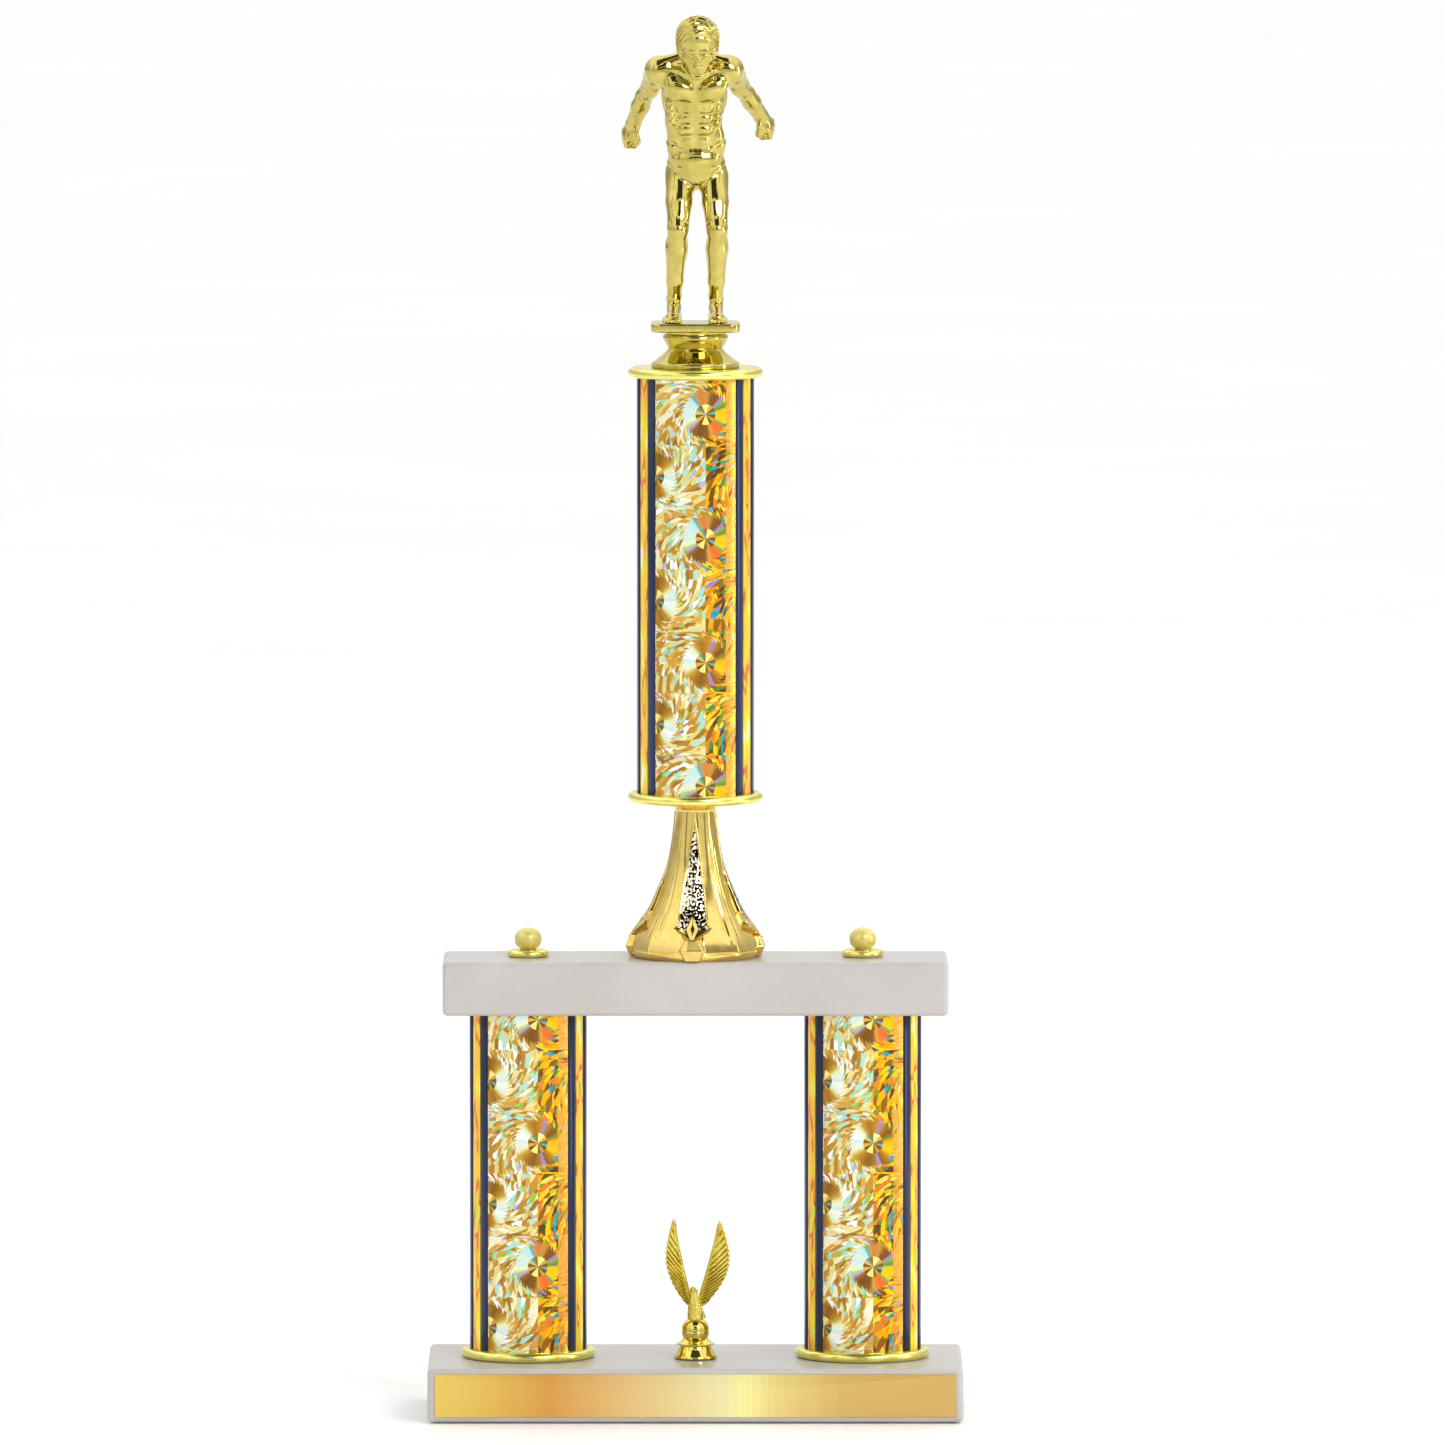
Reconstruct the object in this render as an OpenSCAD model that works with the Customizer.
// Two-column trophy with a marble base and bar, foil columns, a riser column,
// a swimmer figure and a winged trim. Millimetres, +Z up, front towards -Y.
// The origin is the centre of the flat face that the trophy rests on.

/* [Base and bar] */
// Width of the base slab
base_w = 214; // [200:1:230]
// Depth of the base slab
base_d = 88.9; // [80:0.1:100]
// Thickness of the base slab and of the top bar
slab_t = 21.6; // [19:0.1:25]
// Radius of the softened slab edges
slab_edge_r = 2; // [1:0.1:3]
// Thickness of the felt under the base
felt_t = 0.6; // [0.4:0.1:1]
// How far the felt stays inside the slab's outline
felt_inset = 3; // [2:0.5:6]
// Width of the top bar
bar_w = 202; // [190:1:214]
// Depth of the top bar
bar_d = 50.8; // [50:0.1:60]

/* [Name plate] */
// Width of the blank plate on the front of the base
plate_w = 208; // [150:1:209]
// Height of the plate
plate_h = 17.2; // [12:0.1:17.4]
// Thickness of the plate
plate_t = 0.5; // [0.4:0.1:0.8]
// Thickness of its adhesive tape
tape_t = 0.1; // [0.1:0.05:0.2]

/* [Columns] */
// Outer radius of a column, over its ribs
column_r = 24; // [22:0.1:25]
// Distance of each lower column from the middle
column_x = 67; // [60:0.5:72]
// Length of a lower column
lower_column_h = 135.6; // [100:0.1:200]
// Length of the upper column
upper_column_h = 166.4; // [120:0.1:240]
// How far the ribs stand out of the tube
rib_h = 0.9; // [0.6:0.1:1.4]
// Thickness of the foil strips
foil_t = 0.35; // [0.2:0.05:0.5]
// Wall of the tube under the foil
tube_wall = 1.6; // [1.2:0.1:3]
// Thickness of the plug in each end of a tube
plug_t = 6; // [4:0.5:10]

/* [Discs] */
// Radius of the large gold discs
disc_r = 27; // [25:0.1:30]
// Thickness of the large gold discs
disc_t = 3.8; // [3:0.1:5]

/* [Knobs] */
// Radius of the disc under a knob
knob_disc_r = 8.35; // [7:0.05:10]
// Thickness of the disc under a knob
knob_disc_t = 2.8; // [2:0.1:3.5]
// Radius of a knob at its widest
knob_r = 5.45; // [4.8:0.05:7]
// Height of a knob
knob_h = 9.6; // [8.6:0.1:12]

/* [Riser] */
// Height of the riser foot
riser_h = 62.4; // [50:0.1:80]
// Radius of the riser foot at its widest
riser_rim_r = 28; // [26:0.1:30]
// Radius of the collar at the top of the riser foot
riser_collar_r = 12.6; // [10:0.1:16]

/* [Figure] */
// Height of the pedestal under the figure
pedestal_h = 14.5; // [13:0.1:18]
// Radius of the pedestal's flared foot
pedestal_r = 17.7; // [15:0.1:20]
// Width of the block that the swimmer stands on
block_w = 35.6; // [32:0.1:40]
// Depth of that block
block_d = 25; // [22:0.5:30]
// Thickness of that block
block_t = 3.6; // [3:0.1:5]

/* [Trim] */
// Distance of the winged trim in front of the middle
trim_front = 8; // [0:0.5:12]
// Radius of the trim's foot
trim_foot_r = 8.7; // [8:0.1:10]
// Thickness of the fibre washer under the trim
gasket_t = 0.4; // [0.3:0.1:0.8]

/* [Hidden] */

// Colours
marble = [0.82, 0.80, 0.78];
gold = [0.85, 0.77, 0.35];
pale_gold = [0.98, 0.94, 0.60];
foil_gold = [0.85, 0.62, 0.20];
charcoal = [0.20, 0.21, 0.23];
steel = [0.72, 0.73, 0.75];
brass = [0.78, 0.63, 0.30];
felt_grey = [0.66, 0.66, 0.63];
board = [0.72, 0.60, 0.42];
fibre = [0.45, 0.16, 0.12];

// Threaded rods, their nuts and washers
rod_r = 2.38;
rod_hole_r = 2.7;
nut_flats = 9.5;
nut_t = 3.2;
washer_r = 6.3;
washer_t = 1;
counterbore_r = 8;
counterbore_depth = 7;
rod_stub = 1.8;
thread_gap = 0.05;
insert_wall = 1.6;

// Heights, from the floor up
slab_z = felt_t;
base_top = slab_z + slab_t;
column_z = base_top + disc_t;
bar_z = column_z + lower_column_h;
bar_top = bar_z + slab_t;
knob_z = bar_top + knob_disc_t;
riser_disc_z = bar_top + riser_h;
upper_column_z = riser_disc_z + disc_t;
top_disc_z = upper_column_z + upper_column_h;
pedestal_z = top_disc_z + disc_t;
block_z = pedestal_z + pedestal_h;
figure_z = block_z + block_t;
trim_z = base_top + gasket_t;

// The plate and its tape stand in front of the slab, so the slab sits back by half of them
slab_back = (plate_t + tape_t) / 2;
slab_front_y = slab_back - base_d / 2;

// Depths of the blind threads that take a rod's end
knob_bore = 7;
figure_bore = 10;
trim_bore = 8;
end_gap = 1;

// A box with all its edges rounded, centred in X and Y, standing on z = 0
module rounded_slab(w, d, t, r) {
    hull() {
        for (x = [-1, 1], y = [-1, 1], z = [r, t - r])
            translate([x * (w / 2 - r), y * (d / 2 - r), z])
                sphere(r, $fn = 32);
        translate([0, 0, t / 2]) {
            cube([w - 2 * r, d - 2 * r, t], center = true);
            cube([w, d - 2 * r, t - 2 * r], center = true);
            cube([w - 2 * r, d, t - 2 * r], center = true);
        }
    }
}

// A hole right through from z = 0, with a counterbore at the bottom
module rod_hole(t, hole_r, bore_r, depth) {
    translate([0, 0, -1])
        cylinder(r = hole_r, h = t + 2, $fn = 48);
    translate([0, 0, -1])
        cylinder(r = bore_r, h = depth + 1, $fn = 64);
}

module washer(r, t, hole_r) {
    difference() {
        cylinder(r = r, h = t, $fn = 64);
        translate([0, 0, -1])
            cylinder(r = hole_r, h = t + 2, $fn = 48);
    }
}

module hex_nut(flats, t, hole_r) {
    difference() {
        cylinder(r = flats / sqrt(3), h = t, $fn = 6);
        translate([0, 0, -1])
            cylinder(r = hole_r, h = t + 2, $fn = 48);
    }
}

// A disc with a fully rounded rim and a hole for the rod
module rim_disc(r, t) {
    difference() {
        rotate_extrude($fn = 128) {
            square([r - t / 2, t]);
            intersection() {
                translate([r - t / 2, t / 2])
                    circle(t / 2, $fn = 48);
                translate([r - t / 2, 0])
                    square([t, t]);
            }
        }
        translate([0, 0, -1])
            cylinder(r = rod_hole_r, h = t + 2, $fn = 48);
    }
}

module threaded_rod(z0, z1) {
    translate([0, 0, z0])
        cylinder(r = rod_r, h = z1 - z0, $fn = 48);
}

// Flat outline of the part of a ring between two angles, measured from the front
module ring_sector(r0, r1, a0, a1) {
    reach = 2 * r1;
    intersection() {
        difference() {
            circle(r1, $fn = 180);
            circle(r0, $fn = 180);
        }
        polygon(concat(
            [[0, 0]],
            [for (i = [0 : 4]) let (a = a0 + (a1 - a0) * i / 4) [reach * sin(a), -reach * cos(a)]]
        ));
    }
}

// Column panels: each is [first angle, last angle] on one quarter, from the front
tube_r = column_r - rib_h;
rib_angles = [[44.3, 54.1], [72.7, 82.5]];
wide_panel = 43.4;
narrow_panel = [55.4, 70.6];
side_panel = 83.8;

// The moulded tube with its eight ribs
module column_tube(h) {
    linear_extrude(h) {
        difference() {
            circle(tube_r, $fn = 180);
            circle(tube_r - tube_wall, $fn = 180);
        }
        for (back = [0, 180], side = [-1, 1], rib = rib_angles)
            rotate(back)
                ring_sector(tube_r - tube_wall / 2, column_r, side * rib[0], side * rib[1]);
    }
}

// Two wide foil panels, four narrow strips and two side strips
module column_foil(h) {
    outer_r = tube_r + foil_t;
    linear_extrude(h)
        for (back = [0, 180]) rotate(back) {
            ring_sector(tube_r, outer_r, -wide_panel, wide_panel);
            for (side = [-1, 1])
                ring_sector(tube_r, outer_r, side * narrow_panel[0], side * narrow_panel[1]);
            ring_sector(tube_r, outer_r, side_panel, 180 - side_panel);
        }
}

module column_plugs(h) {
    for (z = [0, h - plug_t])
        translate([0, 0, z])
            washer(tube_r - tube_wall, plug_t, rod_hole_r);
}

// Half of an oval, as outline points from bottom to top, for a knob of radius r and height h
function oval(r, h, flat_r) = [
    for (a = [-90 + asin(flat_r / r) : 6 : 90])
        [r * cos(a), h / 2 + h / 2 * sin(a)]
];

module knob_ball() {
    outline = oval(knob_r, knob_h, 2.8);
    base_of_ball = outline[0][1];
    difference() {
        translate([0, 0, -base_of_ball])
            rotate_extrude($fn = 96)
                polygon(concat([[0, base_of_ball]], outline, [[0, knob_h]]));
        translate([0, 0, -1])
            cylinder(r = rod_r + insert_wall / 2, h = knob_bore + 1, $fn = 48);
    }
}

// A threaded sleeve around a rod's end
module insert(wall, h) {
    washer(rod_r + wall, h, rod_r + thread_gap);
}

// Height of the riser's rim band, and the curve of its neck above that
rim_band = 9.5;
neck_r = 5.5;
flare = 18.9;
flare_length = 23.7;
function riser_r(z) = neck_r + flare * exp(-(z - rim_band) / flare_length);

module riser_foot() {
    wall = 1.8;
    dish_h = 5;
    neck_top = riser_h - dish_h;
    outside = concat(
        [[22.7, 0], [25.9, 2.7], [27.4, 4.6], [riser_rim_r, 6], [27.2, 7.4]],
        [for (i = [0 : 14]) let (z = rim_band + (neck_top - rim_band) * i / 14) [riser_r(z), z]],
        [[riser_collar_r - 1, riser_h - 1.8], [riser_collar_r, riser_h - 1], [riser_collar_r, riser_h]]
    );
    inside = [
        for (i = [14 : -1 : 0])
            let (z = rim_band + (neck_top - rim_band) * i / 14)
            [riser_r(z) - wall, z]
    ];
    rotate_extrude($fn = 128)
        polygon(concat(
            outside,
            [[rod_hole_r, riser_h], [rod_hole_r, neck_top]],
            inside,
            [[24, 6], [20.9, 0]]
        ));
}

module figure_pedestal() {
    insert_r = rod_r + insert_wall;
    difference() {
        rotate_extrude($fn = 128)
            polygon([
                [0, 0], [pedestal_r - 0.4, 0], [pedestal_r, 0.5], [pedestal_r, 1.6],
                [16.2, 3], [13.2, 5], [11.6, 6.6], [10.9, 8.4], [11.2, 9.8],
                [12.4, 11], [13.1, 12], [13.1, 13], [12.6, pedestal_h], [0, pedestal_h]
            ]);
        translate([0, 0, -1])
            cylinder(r = insert_r, h = figure_bore + 1, $fn = 48);
    }
}

module starting_block() {
    corner = 4;
    chamfer = 0.5;
    hull()
        for (x = [-1, 1], y = [-1, 1])
            translate([x * (block_w / 2 - corner), y * (block_d / 2 - corner), 0]) {
                translate([0, 0, chamfer])
                    cylinder(r = corner, h = block_t - 2 * chamfer, $fn = 32);
                cylinder(r = corner - chamfer, h = block_t, $fn = 32);
            }
}

// A tapering limb between two points
module limb(p, q, rp, rq) {
    hull() {
        translate(p) sphere(rp, $fn = 16);
        translate(q) sphere(rq, $fn = 16);
    }
}

// The swimmer's skeleton above the block, each row [from, to, radius at from, radius at to]
swimmer = [
    // head, neck
    [[0.8, -14.6, 115.4], [0.8, -18.4, 108.6], 8, 6.6],
    [[0.5, -12.5, 107], [0.1, -7.5, 101], 5, 6.2],
    // chest, waist and hips
    [[-8.4, -5, 98], [7.4, -5, 98], 6.8, 6.8],
    [[-6.6, -2.4, 90], [5.6, -2.4, 90], 6.8, 6.8],
    [[-5.4, 0.4, 82], [4.6, 0.4, 82], 6.2, 6.2],
    [[-5, 2.8, 74], [4.4, 2.8, 74], 6.2, 6.2],
    [[-5.2, 5.4, 64], [6.2, 5.4, 64], 6.8, 6.8],
    // spine between them
    [[-1, -2, 94], [0, 4.5, 66], 8.4, 7.4],
    // legs: thighs, knees, shins
    [[-6.2, 6, 57.5], [-7.2, -5.5, 37.5], 6.4, 4.8],
    [[7.2, 6, 57.5], [8.6, -5.5, 37.5], 6.3, 4.7],
    [[-7.2, -5.2, 37.5], [-8, -0.6, 27], 4.7, 4.7],
    [[8.6, -5.2, 37.5], [8.6, -0.6, 27], 4.6, 4.6],
    [[-8, -0.4, 27], [-8.6, 3.4, 8.5], 4.6, 3.1],
    [[8.6, -0.4, 27], [8.2, 3.4, 8.5], 4.5, 3.1],
    // feet
    [[-8.6, 5, 2.8], [-9.2, -11, 1.6], 3.4, 2.4],
    [[8.2, 5, 2.8], [8.8, -11, 1.6], 3.4, 2.4],
    // shoulders
    [[-14.8, -6.2, 102.2], [-6, -6.5, 101], 6.2, 5.8],
    [[13.6, -6.2, 102.2], [6, -6.5, 101], 6.2, 5.8],
    // upper arms, forearms, fists
    [[-15.4, -5, 101], [-20.6, 12, 91], 5.2, 4.3],
    [[14.6, -5, 101], [20.6, 12, 91.5], 5.2, 4.4],
    [[-20.6, 12, 91], [-25.4, 24, 79.5], 4.3, 3.3],
    [[20.6, 12, 91.5], [27.2, 23.6, 82], 4.4, 3.3],
    [[-25.8, 25, 77.5], [-26.8, 28, 74], 3.8, 4.2],
    [[27.6, 24.8, 81], [28.6, 27.6, 78.4], 3.7, 4.1]
];

module swimmer_figure() {
    below = 10;
    difference() {
        union()
            for (s = swimmer)
                limb(s[0], s[1], s[2], s[3]);
        translate([-block_w, -block_w, -below])
            cube([2 * block_w, 2 * block_w, below]);
    }
}

// Heights on the trim, above its own foot
trim_ball_r = 5.6;
trim_ball_z = 10.9;
trim_top = 15.4;

module trim_pedestal() {
    insert_r = rod_r + insert_wall / 2;
    difference() {
        rotate_extrude($fn = 96) {
            polygon([
                [0, 0], [trim_foot_r - 0.3, 0], [trim_foot_r, 0.5], [trim_foot_r - 0.6, 1.3],
                [6.6, 4], [6.4, 4.8], [7.6, 5.6], [7.4, 6.2], [5.6, 7.4], [0, 7.4]
            ]);
            intersection() {
                translate([0, trim_ball_z])
                    circle(trim_ball_r, $fn = 64);
                translate([0, 6])
                    square([trim_ball_r, trim_top - 6]);
            }
        }
        translate([0, 0, -1])
            cylinder(r = insert_r, h = trim_bore + 1, $fn = 48);
    }
}

// The right wing's flat outline in X and Z, above the trim's foot
wing_tip = [9.4, 54];
wing_outer = [[10.6, 50], [12.4, 43.5], [12.9, 37.5], [12, 32], [9.6, 27], [7, 22.6], [4.6, 19]];
wing_inner = [[2.2, 18], [2.2, 26.5], [4.2, 34.5], [6.4, 43.5], [8.2, 53.4]];

module wing() {
    thick = 1.6;
    sweep = 7;
    rotate([-sweep, 0, 0])
        translate([0, 1.6, 0])
            rotate([90, 0, 0])
                linear_extrude(thick)
                    polygon(concat([wing_tip], wing_outer, wing_inner));
}

module trim_eagle() {
    difference() {
        union() {
            // body, legs, head and beak
            limb([0, 0, 17], [0, -0.6, 22], 3.4, 3);
            limb([0, -0.6, 22], [-0.4, -1.6, 26.4], 2.8, 1.7);
            limb([-0.4, -1.8, 26.6], [-0.6, -3.4, 25.8], 1.4, 0.7);
            limb([0, 2.4, 20], [0, 3.6, 16.4], 2.2, 1.8);
            wing();
            mirror([1, 0, 0]) wing();
        }
        translate([-20, -20, trim_top - 20])
            cube([40, 40, 20]);
    }
}

module trim_screw() {
    head_r = 4;
    head_t = 3;
    seat = slab_z + counterbore_depth - washer_t;
    shank_top = trim_z + trim_bore - end_gap;
    translate([0, 0, seat - head_t])
        cylinder(r = head_r, h = head_t, $fn = 48);
    translate([0, 0, seat])
        cylinder(r = rod_r, h = shank_top - seat, $fn = 48);
}

// Puts its child on the lower column of one side: -1 left, 1 right
module at_column(side, z) {
    translate([side * column_x, 0, z]) children();
}

module at_trim(z) {
    translate([0, -trim_front, z]) children();
}

module base_felt() {
    color(felt_grey)
        translate([-base_w / 2 + felt_inset, slab_front_y + felt_inset, 0])
            cube([base_w - 2 * felt_inset, base_d - 2 * felt_inset, felt_t]);
}

module base_slab() {
    color(marble)
        difference() {
            translate([0, slab_back, slab_z])
                rounded_slab(base_w, base_d, slab_t, slab_edge_r);
            for (side = [-1, 1])
                at_column(side, slab_z)
                    rod_hole(slab_t, rod_hole_r, counterbore_r, counterbore_depth);
            at_trim(slab_z)
                rod_hole(slab_t, rod_hole_r, counterbore_r, counterbore_depth);
        }
}

module name_plate() {
    color(gold)
        translate([-plate_w / 2, slab_front_y - tape_t - plate_t, slab_z + (slab_t - plate_h) / 2])
            cube([plate_w, plate_t, plate_h]);
}

module name_plate_tape() {
    inset = 1.5;
    color("white")
        translate([
            inset - plate_w / 2,
            slab_front_y - tape_t,
            slab_z + (slab_t - plate_h) / 2 + inset
        ])
            cube([plate_w - 2 * inset, tape_t, plate_h - 2 * inset]);
}

module foot_disc(side) {
    color(gold) at_column(side, base_top) rim_disc(disc_r, disc_t);
}

module lower_tube(side) {
    color(charcoal) at_column(side, column_z) column_tube(lower_column_h);
}

module lower_foil(side) {
    color(foil_gold) at_column(side, column_z) column_foil(lower_column_h);
}

module lower_plugs(side) {
    color(board) at_column(side, column_z) column_plugs(lower_column_h);
}

module lower_rod(side) {
    color(steel)
        at_column(side, 0)
            threaded_rod(slab_z + rod_stub, knob_z + knob_bore - end_gap);
}

module base_rod_washers() {
    color(steel)
        for (side = [-1, 1])
            at_column(side, slab_z + counterbore_depth - washer_t)
                washer(washer_r, washer_t, rod_hole_r);
}

module base_rod_nuts() {
    color(steel)
        for (side = [-1, 1])
            at_column(side, slab_z + counterbore_depth - washer_t - nut_t)
                hex_nut(nut_flats, nut_t, rod_r);
}

module top_bar() {
    color(marble)
        translate([0, 0, bar_z])
            difference() {
                rounded_slab(bar_w, bar_d, slab_t, slab_edge_r);
                for (side = [-1, 1])
                    at_column(side, -1)
                        cylinder(r = rod_hole_r, h = slab_t + 2, $fn = 48);
                rod_hole(slab_t, rod_hole_r, counterbore_r, counterbore_depth);
            }
}

module knob_disc(side) {
    color(gold) at_column(side, bar_top) rim_disc(knob_disc_r, knob_disc_t);
}

module knob(side) {
    color(pale_gold) at_column(side, knob_z) knob_ball();
}

module knob_insert(side) {
    color(brass) at_column(side, knob_z) insert(insert_wall / 2, knob_bore);
}

module riser() {
    color(gold) translate([0, 0, bar_top]) riser_foot();
}

module riser_disc() {
    color(gold) translate([0, 0, riser_disc_z]) rim_disc(disc_r, disc_t);
}

module upper_tube() {
    color(charcoal) translate([0, 0, upper_column_z]) column_tube(upper_column_h);
}

module upper_foil() {
    color(foil_gold) translate([0, 0, upper_column_z]) column_foil(upper_column_h);
}

module upper_plugs() {
    color(board) translate([0, 0, upper_column_z]) column_plugs(upper_column_h);
}

module upper_rod() {
    color(steel) threaded_rod(bar_z + rod_stub, pedestal_z + figure_bore - end_gap);
}

module upper_rod_washer() {
    color(steel)
        translate([0, 0, bar_z + counterbore_depth - washer_t])
            washer(washer_r, washer_t, rod_hole_r);
}

module upper_rod_nut() {
    color(steel)
        translate([0, 0, bar_z + counterbore_depth - washer_t - nut_t])
            hex_nut(nut_flats, nut_t, rod_r);
}

module top_disc() {
    color(gold) translate([0, 0, top_disc_z]) rim_disc(disc_r, disc_t);
}

base_felt();
base_slab();
name_plate();
name_plate_tape();
foot_disc(-1);  // left_foot_disc
foot_disc(1);  // right_foot_disc
lower_tube(-1);  // left_column_tube
lower_foil(-1);  // left_column_foil
lower_plugs(-1);  // left_column_plugs
lower_tube(1);  // right_column_tube
lower_foil(1);  // right_column_foil
lower_plugs(1);  // right_column_plugs
lower_rod(-1);  // left_rod
lower_rod(1);  // right_rod
base_rod_washers();
base_rod_nuts();
top_bar();
knob_disc(-1);  // left_knob_disc
knob(-1);  // left_knob_ball
knob_insert(-1);  // left_knob_insert
knob_disc(1);  // right_knob_disc
knob(1);  // right_knob_ball
knob_insert(1);  // right_knob_insert
riser();  // riser_foot
riser_disc();
upper_tube();  // upper_column_tube
upper_foil();  // upper_column_foil
upper_plugs();  // upper_column_plugs
upper_rod();
upper_rod_washer();
upper_rod_nut();
top_disc();
color(gold) translate([0, 0, pedestal_z]) figure_pedestal();
color(brass) translate([0, 0, pedestal_z]) insert(insert_wall, figure_bore);  // figure_insert
color(gold) translate([0, 0, block_z]) starting_block();
color(gold) translate([0, 0, figure_z]) swimmer_figure();
color(gold) at_trim(trim_z) trim_pedestal();
color(gold) at_trim(trim_z) trim_eagle();
color(brass) at_trim(trim_z) insert(insert_wall / 2, trim_bore);  // trim_insert
color(steel) at_trim(0) trim_screw();
color(steel) at_trim(slab_z + counterbore_depth - washer_t) washer(washer_r, washer_t, rod_hole_r);  // trim_screw_washer
color(fibre) at_trim(base_top) washer(trim_foot_r - 0.7, gasket_t, rod_hole_r);  // trim_gasket
